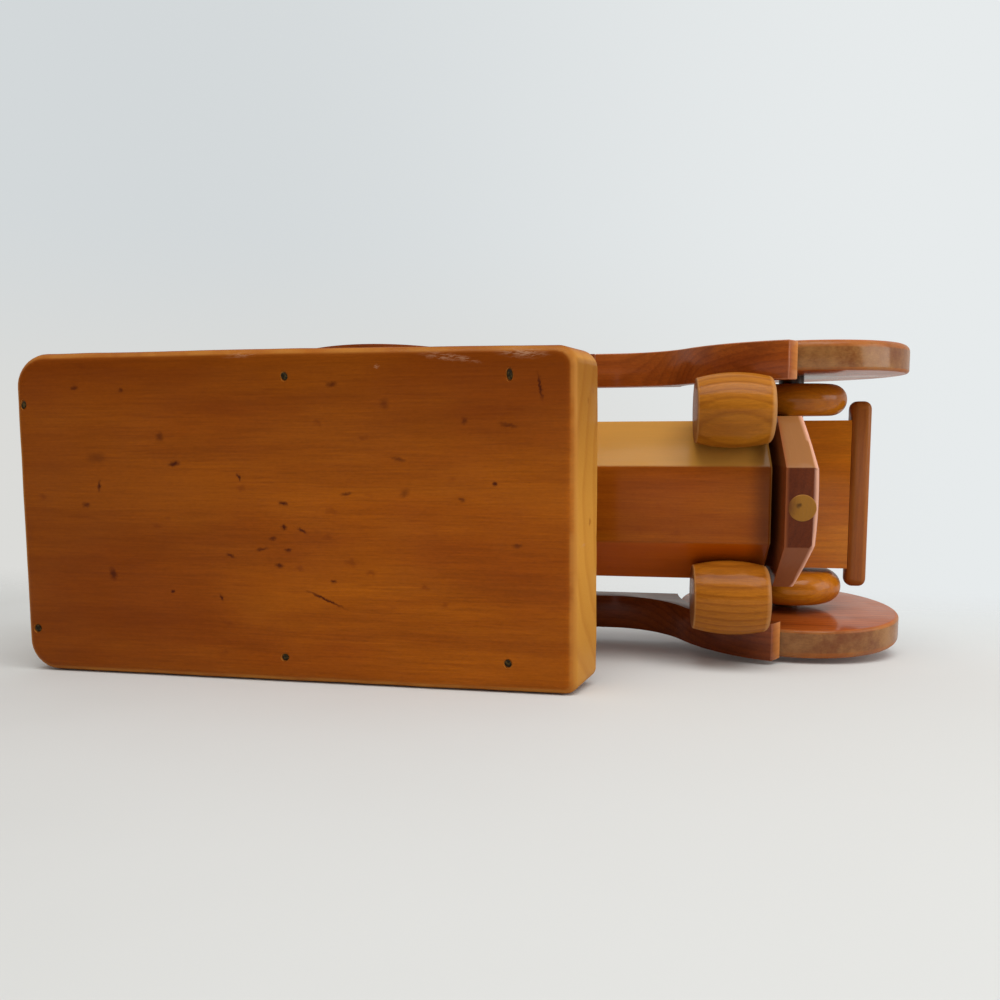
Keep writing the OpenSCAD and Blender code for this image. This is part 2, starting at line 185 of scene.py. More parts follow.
class Finish(Nodes):
    """A node material under construction, on Blender's Principled shader."""

    def __init__(self, name):
        self.material = bpy.data.materials.new(name)
        self.material.use_nodes = True
        super().__init__(self.material.node_tree)
        self.shader = self.tree.nodes["Principled BSDF"]

    def place(self, turn=(0, 0, 0), shift=(0, 0, 0)):
        """Object coordinates in millimetres, turned and shifted for one board."""
        here = self.add("ShaderNodeTexCoord", None, None, "Object")
        return self.add("ShaderNodeMapping", None, {
            "Vector": here, "Location": shift, "Rotation": turn, "Scale": (1 / MM, 1 / MM, 1 / MM)})

    def stretch(self, vector, scale):
        return self.add("ShaderNodeMapping", None, {"Vector": vector, "Scale": scale})

    def noise(self, vector, scale, detail=2.0, roughness=0.5, output="Fac"):
        return self.add("ShaderNodeTexNoise", None, {
            "Vector": vector, "Scale": scale, "Detail": detail, "Roughness": roughness}, output)

    def cells(self, vector, scale):
        return self.add("ShaderNodeTexVoronoi", None, {"Vector": vector, "Scale": scale}, "Distance")

    def stored(self, name):
        return self.add("ShaderNodeAttribute", {"attribute_name": name}, None, "Fac")

    def oval(self, place, middle, half, turn=0.0):
        """1 inside an oval spot, falling to 0 at its rim. Its middle and half sizes are in mm."""
        here = self.add("ShaderNodeMapping", {"vector_type": "TEXTURE"}, {
            "Vector": place, "Location": middle, "Rotation": (0, 0, radians(turn)), "Scale": half})
        return self.length(here).between(1.0, 0.1)


def seen(red, green, blue):
    """A colour as a screen shows it, 0 to 255, as the linear colour that a shader takes."""
    shares = [channel / 255 for channel in (red, green, blue)]
    return tuple(s / 12.92 if s <= 0.04045 else ((s + 0.055) / 1.055) ** 2.4 for s in shares) + (1.0,)


print("middle grey", [round(c, 3) for c in seen(128, 128, 128)])

# %% [markdown]
# The car lies on its right side, on the roof's edge and the rear fender. The table is a plane through
# those two. It has one side only: from behind it can't be seen and stops no light, so that the car's
# right side can be looked at too. Far away it fades into the backdrop, as a paper sweep does.

# %% Table
TABLE_SIZE = 5.0
# Places in mm, counted downwards from the wheels' ground, between which the table fades away
FADE_FROM = -110
FADE_TO = 230
FLOOR_TONE = seen(219, 219, 216)
# Painted shade: the paper is darker towards the car's rear, away from the light, and lighter towards its
# front
PAPER_SHADED_AT_REAR = seen(195, 195, 192)
PAPER_LIT_AT_FRONT = seen(213, 214, 212)
PAPER_CLOUD = seen(218, 219, 218)
ROOF_TOUCH_DEPTH = 1.8 * MM
FENDER_TOUCH_DEPTH = 3 * MM
fender_low, fender_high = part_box("rear_fender_right")
lean = atan2(roof_low.y - fender_low.y, roof_high.z - ROOF_TOUCH_DEPTH - fender_high.z + FENDER_TOUCH_DEPTH)
bpy.ops.object.select_all(action="DESELECT")
bpy.ops.mesh.primitive_plane_add(size=TABLE_SIZE)
table = bpy.context.object
table.name = "table"
table.rotation_euler = (-(pi / 2 + lean), 0, 0)
table.location = (0, roof_low.y, roof_high.z - ROOF_TOUCH_DEPTH)
bpy.ops.object.transform_apply(location=True, rotation=True, scale=True)

paper = Finish("table_paper")
spot = paper.place()
spot_along, _, spot_up = paper.parts(spot)
mottle = paper.noise(spot, 0.009, 3)
# Painted shade on the paper: darker towards the rear, lighter towards the front
paper_tone = paper.mix(spot_along.between(-230, 120), PAPER_SHADED_AT_REAR, PAPER_LIT_AT_FRONT)
paper_tone = paper.mix(mottle.between(0.3, 0.7) * 0.25, paper_tone, PAPER_CLOUD)
paper.feed(paper.shader.inputs["Base Color"], paper_tone)
paper.shader.inputs["Roughness"].default_value = 0.75
paper.shader.inputs["Specular IOR Level"].default_value = 0.2
behind = paper.add("ShaderNodeNewGeometry", None, None, "Backfacing")
shadow_ray = paper.add("ShaderNodeLightPath", None, None, "Is Shadow Ray")
away = (-1 * spot_up).between(FADE_FROM, FADE_TO).maths("MAXIMUM", behind.maths("MAXIMUM", shadow_ray))
clear = paper.add("ShaderNodeBsdfTransparent")
shown = paper.add("ShaderNodeMixShader", None, {0: away, 1: Value(paper, paper.shader.outputs[0]), 2: clear})
paper.feed(paper.tree.nodes["Material Output"].inputs["Surface"], shown)
table.data.materials.append(paper.material)
print("table leans", round(degrees(lean), 2), "degrees to the roof's side")

# %% [markdown]
# The car lies with its left side up, so +Y is the photograph's real up. A big window stands up there
# and gives the direction of the light. The paper sweep behind the car is pale, and the room behind
# the camera is dim: the lacquer on the roof mirrors that dim room, which keeps its colour deep,
# while the wheels mirror the pale sweep.

# %% Light
# Painted light: the backdrop is darker on the left and lighter on the right, towards the side lamp
BACKDROP_SHADED_LEFT = seen(211, 216, 218)
BACKDROP_LIT_RIGHT = seen(231, 235, 236)
HORIZON = -0.04
DIM_ROOM = (0.035, 0.033, 0.03, 1)
PALE_SWEEP = (0.8, 0.76, 0.71, 1)
ROOM_LIGHT = (0.46, 0.455, 0.44, 1)
SWEEP_LIGHT = (0.46, 0.47, 0.48, 1)
LAMPS = [("window_light", (0.3, 2.0, 0.75), (2.0, 1.4), 36, (1.0, 0.995, 0.98)),
         ("side_light", (1.1, 0.35, 0.3), (0.7, 0.7), 4.5, (1.0, 0.98, 0.95))]
world = bpy.data.worlds.new("studio")
bpy.context.scene.world = world
world.use_nodes = True
room = Nodes(world.node_tree)
ray_along, ray_across, ray_up = room.parts(room.add("ShaderNodeTexCoord", None, None, "Generated"))
# The painted light on the backdrop and the far floor: darker to the left, lighter to the right
backdrop = room.mix(ray_along.between(-0.55, 0.35), BACKDROP_SHADED_LEFT, BACKDROP_LIT_RIGHT)
skyline = room.mix(ray_along.between(-0.25, 0.4), FLOOR_TONE, BACKDROP_LIT_RIGHT)
backdrop = room.mix(ray_across.between(HORIZON, HORIZON + 0.3), skyline, backdrop)
to_sweep = ray_up.between(0.35, -0.35).maths("MAXIMUM", ray_across.between(0.35, 0.95))
mirrored = room.mix(to_sweep, DIM_ROOM, PALE_SWEEP)
lighting = room.mix(to_sweep, ROOM_LIGHT, SWEEP_LIGHT)
is_glossy = room.add("ShaderNodeLightPath", None, None, "Is Glossy Ray")
is_camera = room.add("ShaderNodeLightPath", None, None, "Is Camera Ray")
shown_room = room.mix(is_camera, room.mix(is_glossy, lighting, mirrored), backdrop)
room.feed(world.node_tree.nodes["Background"].inputs["Color"], shown_room)


def soft_lamp(name, place, size, watts, colour):
    """A large soft lamp at a place, turned to the middle of the car."""
    data = bpy.data.lights.new(name, "AREA")
    data.shape = "RECTANGLE"
    data.size, data.size_y = size
    data.energy = watts
    data.color = colour
    lamp = bpy.data.objects.new(name, data)
    middle = (cad_bounds[0] + cad_bounds[1]) / 2
    lamp.location = place
    lamp.rotation_euler = (Vector(place) - middle).to_track_quat("Z", "Y").to_euler()
    bpy.context.scene.collection.objects.link(lamp)


for lamp_facts in LAMPS:
    soft_lamp(*lamp_facts)

# %% [markdown]
# Wood is modelled as it grows. Rings lie round a pith line that runs along the grain, so one pattern
# gives straight lines on a face cut along the grain and arcs on a face cut across it. Over the
# rings come broad bands, fine fibres, dark streaks, a stain that took unevenly, and the marks of
# use. Masks that are stored on the mesh say where a face is cut across the grain, where a tread
# has rolled, and where an edge is rubbed.

# %% Wood finishes
GRAIN_TURN = {"X": (0, 0, 0), "Y": (0, 0, radians(-90)), "Z": (0, radians(90), 0)}
RING_STOPS = [(0.0, 0.0), (0.5, 0.25), (0.8, 1.0), (0.9, 0.6), (1.0, 0.0)]
# How often each pattern repeats in a millimetre: along the grain, and twice across it
SWAY = (0.006, 0.03, 0.03)
CLOUDS = (0.012, 0.035, 0.035)
BROAD_BANDS = (0.009, 0.11, 0.11)
FIBRES = (0.06, 1.5, 1.5)
STREAKS = (0.05, 0.7, 0.7)
SPECKLES = (0.6, 2.2, 2.2)
SMUDGES = (0.075, 0.13, 0.13)


def wood(name, tones, grain="X", pith=(10, 60), ring=2.6, seed=0, figure=0.3, bare=seen(196, 138, 76),
         rubbing=0.5, gloss=0.5, marks=0.4, cut=None, cut_rings=0.35, rolled=None, used=None, contrast=0.34):
    """Stained and lacquered wood. tones are its deep, middle and light colours.

    pith is where the middle of the rings lies and ring is how far apart they are, both in mm. figure,
    rubbing, gloss, marks, cut_rings and contrast say how strongly the rings, rubbed edges, lacquer,
    smudges, rings of the end grain and fibres show. bare is the wood under the stain, cut is the colour
    of end grain, and rolled are the two colours of a worn tread. used is a function that takes the
    finish and its colour, and gives the colour with this piece's own marks.
    """
    deep, middle, light = tones
    finish = Finish(name)
    board = finish.place(GRAIN_TURN[grain], (seed, 0, 0))
    sway = finish.noise(finish.stretch(board, SWAY), 1, 2, output="Color")
    sway = finish.vectors("MULTIPLY", finish.vectors("SUBTRACT", sway, (0.5, 0.5, 0.5)), (0, 9, 9))
    _, across, height = finish.parts(finish.vectors("ADD", board, sway))
    off_pith = finish.add("ShaderNodeCombineXYZ", None, {1: across - pith[0], 2: height - pith[1]})
    in_ring = (finish.length(off_pith) / ring).maths("FRACT")
    late = finish.add("ShaderNodeValToRGB", {"stops": RING_STOPS}, {"Fac": in_ring})
    cloud = finish.noise(finish.stretch(board, CLOUDS), 1, 3)
    broad = finish.noise(finish.stretch(board, BROAD_BANDS), 1, 3, 0.6)
    fibres = finish.noise(finish.stretch(board, FIBRES), 1, 4, 0.65)
    streaks = finish.noise(finish.stretch(board, STREAKS), 1, 3, 0.6).between(0.58, 0.76)
    speckle = finish.noise(finish.stretch(board, SPECKLES), 1, 3, 0.7)
    colour = finish.mix(cloud.between(0.35, 0.65), middle, light)
    colour = finish.mix(broad.between(0.42, 0.72) * 0.42, colour, deep)
    colour = finish.mix(late * figure, colour, deep)
    colour = finish.mix(streaks * 0.3, colour, deep)
    colour = finish.mix(contrast, colour, fibres, "OVERLAY")
    colour = finish.mix(contrast * 0.7, colour, speckle, "OVERLAY")
    colour = finish.mix(speckle.between(0.64, 0.8) * 0.35, colour, deep)
    if cut:
        cut_colour = finish.mix(late * cut_rings + speckle.between(0.5, 0.8) * 0.2, cut, middle)
        colour = finish.mix(finish.stored("cut_across"), colour, cut_colour)
    warp = finish.vectors("MULTIPLY", finish.noise(board, 0.35, 2, output="Color"), (4, 3, 3))
    smudge = finish.cells(finish.stretch(finish.vectors("ADD", board, warp), SMUDGES), 1).between(0.2, 0.02)
    smudge = smudge * finish.noise(board, 0.035, 0).between(0.47, 0.58)
    colour = finish.mix(smudge * marks, colour, deep)
    if rolled:
        patch = finish.noise(board, 0.07, 5, 0.7)
        worn = finish.mix(patch.between(0.3, 0.7), rolled[0], rolled[1])
        worn = finish.mix(0.35, worn, speckle, "OVERLAY")
        colour = finish.mix(finish.stored("rolled") * 0.9, colour, worn)
    rubbed = finish.stored("rubbed") * (0.4 + 0.6 * finish.noise(board, 0.06, 4, 0.6).between(0.35, 0.65))
    colour = finish.mix(rubbed * rubbing, colour, bare)
    if used:
        colour = used(finish, colour)
    finish.feed(finish.shader.inputs["Base Color"], colour)
    smear = finish.noise(board, 0.06, 3).between(0.3, 0.7)
    finish.feed(finish.shader.inputs["Roughness"], 0.46 + fibres * 0.1 + smear * 0.1 + rubbed * 0.1)
    finish.feed(finish.shader.inputs["Coat Weight"], gloss * (1 - rubbed * 0.6) * (1 - smear * 0.25))
    finish.shader.inputs["Coat Roughness"].default_value = 0.15
    finish.shader.inputs["Specular IOR Level"].default_value = 0.03
    relief = fibres * 0.5 + late * 0.25 + finish.noise(board, 0.1, 3) * 1.2 - smudge * 0.6
    finish.feed(finish.shader.inputs["Normal"], finish.add("ShaderNodeBump", None, {
        "Height": relief, "Strength": 0.3, "Distance": 0.25 * MM}, "Normal"))
    return finish


HONEY = (seen(122, 52, 4), seen(150, 72, 7), seen(164, 86, 12))
RED_BROWN = (seen(72, 27, 8), seen(116, 50, 15), seen(134, 64, 22))
DOWEL = (seen(104, 62, 22), seen(140, 92, 38), seen(158, 112, 54))
PALE_CUT = seen(206, 146, 78)

# %% [markdown]
# Boards start as a block, and are cut to shape as at the bench. Their points could be typed in one by
# one, but cuts keep each face flat and each size where a joiner would look for it: the saw is
# Blender's bisect, which cuts the mesh on a plane and closes it.


# %% A block and the saw
def only(piece):
    """Makes a piece the only one that is selected, and the active one."""
    bpy.ops.object.select_all(action="DESELECT")
    piece.select_set(True)
    bpy.context.view_layer.objects.active = piece


def settle(piece):
    """Moves a piece's place, turn and size into its mesh."""
    only(piece)
    bpy.ops.object.transform_apply(location=True, rotation=True, scale=True)
    return piece


def block(name, low, high):
    """A block of wood between two corners."""
    bpy.ops.object.select_all(action="DESELECT")
    bpy.ops.mesh.primitive_cube_add(size=1, location=(Vector(low) + Vector(high)) / 2)
    piece = bpy.context.object
    piece.name = name
    piece.data.name = name
    piece.scale = Vector(high) - Vector(low)
    return settle(piece)


def saw(piece, point, outward):
    """Cuts off what lies outward of a plane, and closes the cut."""
    only(piece)
    bpy.ops.object.mode_set(mode="EDIT")
    bpy.ops.mesh.select_all(action="SELECT")
    bpy.ops.mesh.bisect(plane_co=point, plane_no=outward, use_fill=True, clear_outer=True)
    bpy.ops.object.mode_set(mode="OBJECT")


# %% [markdown]
# Hands and years have rounded every edge. A bevel on the edges that are picked is the sandpaper. A
# Bevel modifier would round them all alike, so the picking is done by a small test for each job.

# %% Sandpaper
SHARP_ANGLE = radians(28)
ALIKE_COSINE = 0.8


def is_sharp(edge):
    return len(edge.link_faces) == 2 and edge.calc_face_angle() > SHARP_ANGLE


def middle_of(edge):
    return (edge.verts[0].co + edge.verts[1].co) / 2


def runs(edge, axis):
    """True where an edge runs along an axis, give or take."""
    return abs((edge.verts[0].co - edge.verts[1].co).normalized().dot(axis)) > ALIKE_COSINE


def sand(piece, width, wanted=is_sharp, steps=4, clamped=True):
    """Rounds the edges that are wanted to a radius of about width.

    clamped narrows the rounding where edges are short, so an outline of many short edges goes without.
    """
    only(piece)
    bpy.ops.object.mode_set(mode="EDIT")
    bpy.ops.mesh.select_mode(type="EDGE")
    bpy.ops.mesh.select_all(action="DESELECT")
    mesh = bmesh.from_edit_mesh(piece.data)
    picked = [edge for edge in mesh.edges if wanted(edge)]
    for edge in picked:
        edge.select_set(True)
    bmesh.update_edit_mesh(piece.data)
    bpy.ops.mesh.bevel(offset=width, segments=steps, affect="EDGES", clamp_overlap=clamped)
    bpy.ops.object.mode_set(mode="OBJECT")
    print(piece.name, "has", len(picked), "edges rounded by", round(width / MM, 2), "mm")


# %% [markdown]
# A slab that was sanded by hand isn't quite flat, and its long gloss lines waver. Slices give the mesh
# points to dent, and soft clouds push these in by a fraction of a millimetre.


# %% Slices and waves
def lattice(piece, axis, step):
    """Cuts a piece into slices that stay together, so that it has points to dent."""
    only(piece)
    bpy.ops.object.mode_set(mode="EDIT")
    places = [vertex.co.dot(axis) for vertex in bmesh.from_edit_mesh(piece.data).verts]
    low, high = min(places), max(places)
    count = round((high - low) / step)
    for cut in range(1, count):
        bpy.ops.mesh.select_all(action="SELECT")
        bpy.ops.mesh.bisect(plane_co=axis * (low + (high - low) * cut / count), plane_no=axis)
    bpy.ops.object.mode_set(mode="OBJECT")


def wear_wavy(piece, depth, size):
    """Lets the surface sink by up to depth in soft waves of about a size, as years of handling do."""
    waves = bpy.data.textures.new(piece.name + "_waves", "CLOUDS")
    waves.noise_scale = size
    only(piece)
    worn = piece.modifiers.new("waves", "DISPLACE")
    worn.texture = waves
    worn.texture_coords = "LOCAL"
    worn.mid_level = 0
    worn.strength = -depth
    bpy.ops.object.modifier_apply(modifier=worn.name)


# %% [markdown]
# A material can't tell by itself where an edge is rounded or a face is cut across the grain. So each
# finished mesh gets masks as attributes: rubbed on its roundings, cut_across on its ends, and rolled
# on a wheel's tread. They stay with the mesh when it moves or is exported.


# %% Masks
# Shares of a full turn: where the rubbed mask starts, and how much further it is full
MASK_START = 0.55
MASK_SPREAD = 0.3
WIDE_FACE = 1.6 * MM
# How near a normal is to a flat face's own where the mask starts, and where it is full
FLAT_COSINE = 0.985
ROUND_COSINE = 0.88


def soft_step(value, low, high):
    share = min(1.0, max(0.0, (value - low) / (high - low)))
    return share * share * (3 - 2 * share)


def is_wide(face):
    """True for a face that isn't one strip of a rounding."""
    return 2 * face.calc_area() / face.calc_perimeter() > WIDE_FACE


def store_rubbed(piece, full_turn):
    """Stores a mask that is 1 on rounded edges. full_turn is the angle between two strips of a rounding."""
    mesh = bmesh.new()
    mesh.from_mesh(piece.data)
    amounts = []
    for vertex in mesh.verts:
        turns = [edge.calc_face_angle() for edge in vertex.link_edges if len(edge.link_faces) == 2]
        share = (degrees(max(turns, default=0)) / full_turn - MASK_START) / MASK_SPREAD
        at_border = any(is_wide(face) for face in vertex.link_faces)
        amounts.append(0.0 if at_border else min(1.0, max(0.0, share)))
    mesh.free()
    mask = piece.data.attributes.new("rubbed", "FLOAT", "POINT")
    mask.data.foreach_set("value", amounts)


def store_faces(piece, name, share_of):
    """Stores a mask on each face's corners, worked out from the smoothed normals there."""
    amounts = [share_of(corner.vector) for corner in piece.data.corner_normals]
    mask = piece.data.attributes.new(name, "FLOAT", "CORNER")
    mask.data.foreach_set("value", amounts)


# %% Handing a piece over
SMOOTH_UNDER = radians(32)
# How much a wheel's face looks sideways where the mask of its tread starts, and where it is full
ROLLED_FROM = 0.97
ROLLED_TO = 0.7


def deliver(piece, finish, body, nodes, full_turn=22.5, grain=ALONG, cut_from=0.6, cut_to=0.72, end=0,
            flats=None):
    """Finishes a piece and hands it to the frame: shading, masks, material, body and CAD nodes.

    The cut mask grows as a face turns from cut_from to cut_to of the way to the grain's direction.
    end is 1 or -1 where only one end of the board shows its cut, and 0 for both. With flats, the ways
    that its flat faces look, what turns away from all of them is rubbed.
    """
    only(piece)
    bpy.ops.object.shade_smooth_by_angle(angle=SMOOTH_UNDER)

    def rubbed_share(normal):
        nearest = max(normal.dot(flat) for flat in flats)
        return soft_step(nearest, FLAT_COSINE, ROUND_COSINE)

    def cut_share(normal):
        facing = normal.dot(grain)
        return soft_step(facing * end if end else abs(facing), cut_from, cut_to)

    if flats:
        store_faces(piece, "rubbed", rubbed_share)
    else:
        store_rubbed(piece, full_turn)
    store_faces(piece, "cut_across", cut_share)
    store_faces(piece, "rolled", lambda normal: soft_step(abs(normal.y), ROLLED_FROM, ROLLED_TO))
    piece.data.materials.clear()
    piece.data.materials.append(finish.material)
    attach(piece, body)
    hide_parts(*nodes)
    print(piece.name, len(piece.data.polygons), "faces")


# %% [markdown]
# The roof is a thick slab. Its front face was sawn at a slant, its rear corners are wide and round in
# plan, its front corners are small, and its long edges are worn. The corners are sanded first and
# the long edges after them, because a bevel follows the outline that it finds.

# %% Roof slab
ROOF_SLANT = 5.5 * MM
ROOF_REAR_SKEW = 1.1 * MM
ROOF_FRONT_TAPER = 0.9 * MM
ROOF_CORNERS = {(-1, 1): 11 * MM, (-1, -1): 10 * MM, (1, 1): 6 * MM, (1, -1): 3.6 * MM}
ROOF_EDGE = 3 * MM
ROOF_FOOT_EDGE = 0.9 * MM
ROOF_WAVE = 0.35 * MM
ROOF_WAVE_SIZE = 16 * MM
ROOF_SLICE = 3 * MM
# Two places that are closer than this are one place
NEAR = 0.1 * MM
roof_slab = block("roof_slab", roof_low, roof_high)
front_foot = Vector((roof_high.x, 0, roof_low.z))
roof_front_out = Vector((roof_high.z - roof_low.z, 0, ROOF_SLANT)).normalized()
saw(roof_slab, front_foot, roof_front_out)
roof_middle = (roof_low + roof_high) / 2
saw(roof_slab, roof_low, Vector((roof_low.y - roof_high.y, ROOF_REAR_SKEW, 0)).normalized())
taper_start = Vector((roof_middle.x, roof_high.y, 0))
saw(roof_slab, taper_start, Vector((ROOF_FRONT_TAPER, roof_high.x - roof_middle.x, 0)).normalized())


def at_corner(end, side):
    """A test for the upright edge at one corner. end is 1 at the front, and side is 1 on the left."""
    def wanted(edge):
        place = middle_of(edge)
        tall = edge.calc_length() > (roof_high.z - roof_low.z) / 2
        here = (place.x - roof_middle.x) * end > 0 and place.y * side > 0
        return here and tall and is_sharp(edge) and runs(edge, UP)
    return wanted


for corner, radius in ROOF_CORNERS.items():
    sand(roof_slab, radius, at_corner(*corner), steps=10)
sand(roof_slab, ROOF_FOOT_EDGE, lambda e: is_sharp(e) and middle_of(e).z < roof_low.z + NEAR)
sand(roof_slab, ROOF_EDGE, lambda e: is_sharp(e) and middle_of(e).z > roof_middle.z, steps=6,
     clamped=False)
lattice(roof_slab, ALONG, ROOF_SLICE)
lattice(roof_slab, ACROSS, ROOF_SLICE)
wear_wavy(roof_slab, ROOF_WAVE, ROOF_WAVE_SIZE)
print("roof slab", [round(size / MM, 1) for size in roof_high - roof_low], "mm")

# %% [markdown]
# Brads, dowels, wheels and headlights are round. A drawn outline and a Screw modifier could make them.
# Here a disc is extruded and scaled from station to station along the lathe's axis, which reads like a
# turner's own list of diameters. The drill is a boolean cut.


# %% Lathe and drill
def turn(name, profile, steps=96):
    """A piece turned round Z. profile lists its stations as (height, radius)."""
    bpy.ops.object.select_all(action="DESELECT")
    height, radius = profile[0]
    bpy.ops.mesh.primitive_circle_add(vertices=steps, radius=radius, fill_type="NGON",
                                      location=(0, 0, height))
    piece = bpy.context.object
    piece.name = name
    piece.data.name = name
    bpy.ops.object.mode_set(mode="EDIT")
    for station, width in profile[1:]:
        bpy.ops.mesh.extrude_region_move(TRANSFORM_OT_translate={"value": (0, 0, station - height)})
        bpy.ops.transform.resize(value=(width / radius, width / radius, 1), center_override=(0, 0, station))
        height, radius = station, width
    bpy.ops.mesh.select_all(action="SELECT")
    bpy.ops.mesh.normals_make_consistent(inside=False)
    bpy.ops.object.mode_set(mode="OBJECT")
    return settle(piece)


def drill(piece, tool):
    """Takes a tool's shape out of a piece, and puts the tool away."""
    only(piece)
    cut = piece.modifiers.new("drill", "BOOLEAN")
    cut.object = tool
    cut.operation = "DIFFERENCE"
    bpy.ops.object.modifier_apply(modifier=cut.name)
    bpy.data.objects.remove(tool)


# %% [markdown]
# Six brads hold the roof. Their heads are small, dark and never quite round, and each sits in a
# shallow pit that the hammer left. Discs painted on the roof would look flat from the side, so the
# pits are drilled and the heads are turned, and then scaled and turned a little, each in its own way.

# %% Roof brads
# Each brad: its place along and across the roof in mm, and how its head is stretched each way
BRADS = [(4.3, 35.1, 0.75, 1.2), (4.4, -37.2, 1.05, 1.1), (92.3, 42.7, 0.9, 1.15),
         (89.8, -43.2, 1.0, 0.95), (160.3, 42.1, 0.8, 1.5), (159.4, -42.1, 0.95, 1.1)]
BRAD_HEAD = [(-30 * MM, 0.4 * MM), (-1.2 * MM, 0.45 * MM), (-0.8 * MM, 0.95 * MM), (-0.35 * MM, 1.05 * MM),
             (-0.15 * MM, 0.85 * MM), (-0.05 * MM, 0.4 * MM)]
PIT_DEPTH = 0.55 * MM
PIT_ROOM = 1.25
PIT = [(-PIT_DEPTH, 0.8 * MM), (-PIT_DEPTH * 0.7, 1.1 * MM), (PIT_DEPTH, 1.25 * MM)]
heads = []
for number, (along, across, long_side, cross_side) in enumerate(BRADS):
    spot = Vector((roof_low.x + along * MM, across * MM, roof_high.z))
    head = turn("brad", BRAD_HEAD, steps=20)
    head.scale = (long_side, cross_side, 1)
    head.rotation_euler = (0, 0, radians(25 * (number % 3) - 20))
    head.location = spot
    heads.append(settle(head))
    pit = turn("pit", PIT, steps=24)
    pit.scale = (long_side * PIT_ROOM, cross_side * PIT_ROOM, 1)
    pit.location = spot
    settle(pit)
    drill(roof_slab, pit)
only(heads[0])
for head in heads:
    head.select_set(True)
bpy.ops.object.join()
brad_heads = bpy.context.object
brad_heads.name = "brad_heads"
print(len(heads), "brads")

# %% Brad iron
IRON_DARK = seen(30, 23, 11)
IRON_RUST = seen(76, 60, 30)
iron = Finish("brad_iron")
iron_place = iron.place()
rust = iron.noise(iron_place, 1.1, 4, 0.6)
iron.feed(iron.shader.inputs["Base Color"], iron.mix(rust.between(0.42, 0.68), IRON_DARK, IRON_RUST))
iron.feed(iron.shader.inputs["Roughness"], 0.5 + rust * 0.4)
iron.shader.inputs["Specular IOR Level"].default_value = 0.1
iron.feed(iron.shader.inputs["Normal"], iron.add("ShaderNodeBump", None, {
    "Height": rust, "Strength": 0.6, "Distance": 0.3 * MM}, "Normal"))
deliver(brad_heads, iron, "car", ["roof_brads"])

# %% [markdown]
# The roof's finish carries its own history: dark dents and dashes from play, a long scratch near the
# middle, pale scuffs along the left edge, and a chip on the slanted face. A noise could scatter such
# marks, but not to their places. So each is an oval at a place measured from the roof's rear edge, and
# the list reads like a repairer's notes. The marks change the colour only, not the relief.

# %% Marks of the roof
# Each mark: its place along and across in mm, its half sizes, its turn in degrees and its strength
DASHES = [
    (51, 24.8, 1.3, 1.4, 0, 0.5), (55.4, 16.5, 1.9, 0.9, 8, 0.8), (29.3, 9.5, 0.6, 1.7, -6, 0.8),
    (76.7, 12.4, 0.5, 1.3, 20, 0.8), (90.8, 4.6, 1.6, 0.6, -10, 0.8), (90.8, -2.6, 0.9, 0.9, 0, 0.9),
    (96.7, -3.7, 1.5, 0.5, -28, 0.8), (86.9, -6.3, 1.3, 0.6, 5, 0.6), (83.3, -9.6, 1.9, 0.5, 12, 0.6),
    (91.8, -9.7, 1.1, 0.6, 0, 0.7), (72.9, -11.8, 1.6, 0.5, -20, 0.7), (88.9, -14.5, 1.4, 0.8, 0, 0.7),
    (32.7, -18.5, 1.2, 1.9, 10, 0.7), (53.1, -23.5, 0.6, 0.6, 0, 0.9), (69.4, -25, 0.5, 1.0, 15, 0.8),
    (103.5, -24.6, 6.2, 0.45, -23, 0.8), (29, 18.4, 3.5, 1.6, 0, 0.35), (169, 38.6, 0.45, 3.6, 9, 0.8),
    (147.1, 29.1, 1.0, 1.0, 0, 0.5), (159.9, 27.8, 2.6, 0.7, -10, 0.5), (123.1, 34.1, 1.5, 1.6, 0, 0.35),
    (127.2, 18, 2.2, 0.6, -12, 0.5), (155.9, 10.9, 0.8, 0.6, 0, 0.8), (128.8, 8.1, 1.8, 1.2, 30, 0.4),
    (22.4, 40.1, 1.2, 0.7, 0, 0.6), (38.5, 39.3, 0.9, 0.8, 0, 0.6), (24.6, 3.4, 1.3, 0.8, 0, 0.6),
    (107.1, 40.1, 1.6, 0.7, 12, 0.6), (110.9, 7.6, 1.7, 0.5, 10, 0.6), (106.1, -19.1, 1.0, 0.6, 0, 0.7),
    (162.3, -7, 1.4, 0.6, 0, 0.5), (145.9, 6.2, 1.2, 0.6, -15, 0.5),
]
SCUFFS = [(141, 47.6, 6, 1.1, -7, 0.5), (148, 46.6, 3.6, 0.6, -12, 0.45), (164, 48.2, 6.4, 1.3, -4, 0.6),
          (79, 49.2, 5, 0.8, 4, 0.4), (181.3, -7.5, 0.9, 0.7, 0, 0.9), (121, 45, 0.7, 0.6, 0, 0.5)]
MARK_SPREAD = 1.5
MARK_DEPTH = 12
DASH_STRENGTH = 1.25
print(len(DASHES), "dashes and", len(SCUFFS), "scuffs")

# %% Roof finish
ROOF_TONES = (seen(112, 47, 3), seen(144, 69, 6), seen(162, 85, 10))
ROOF_BARE = seen(184, 124, 56)
ROOF_CUT = seen(198, 139, 57)
ROOF_DARK = seen(98, 40, 2)
DASH_COLOUR = seen(70, 25, 3)
SCUFF_COLOUR = seen(182, 138, 106)


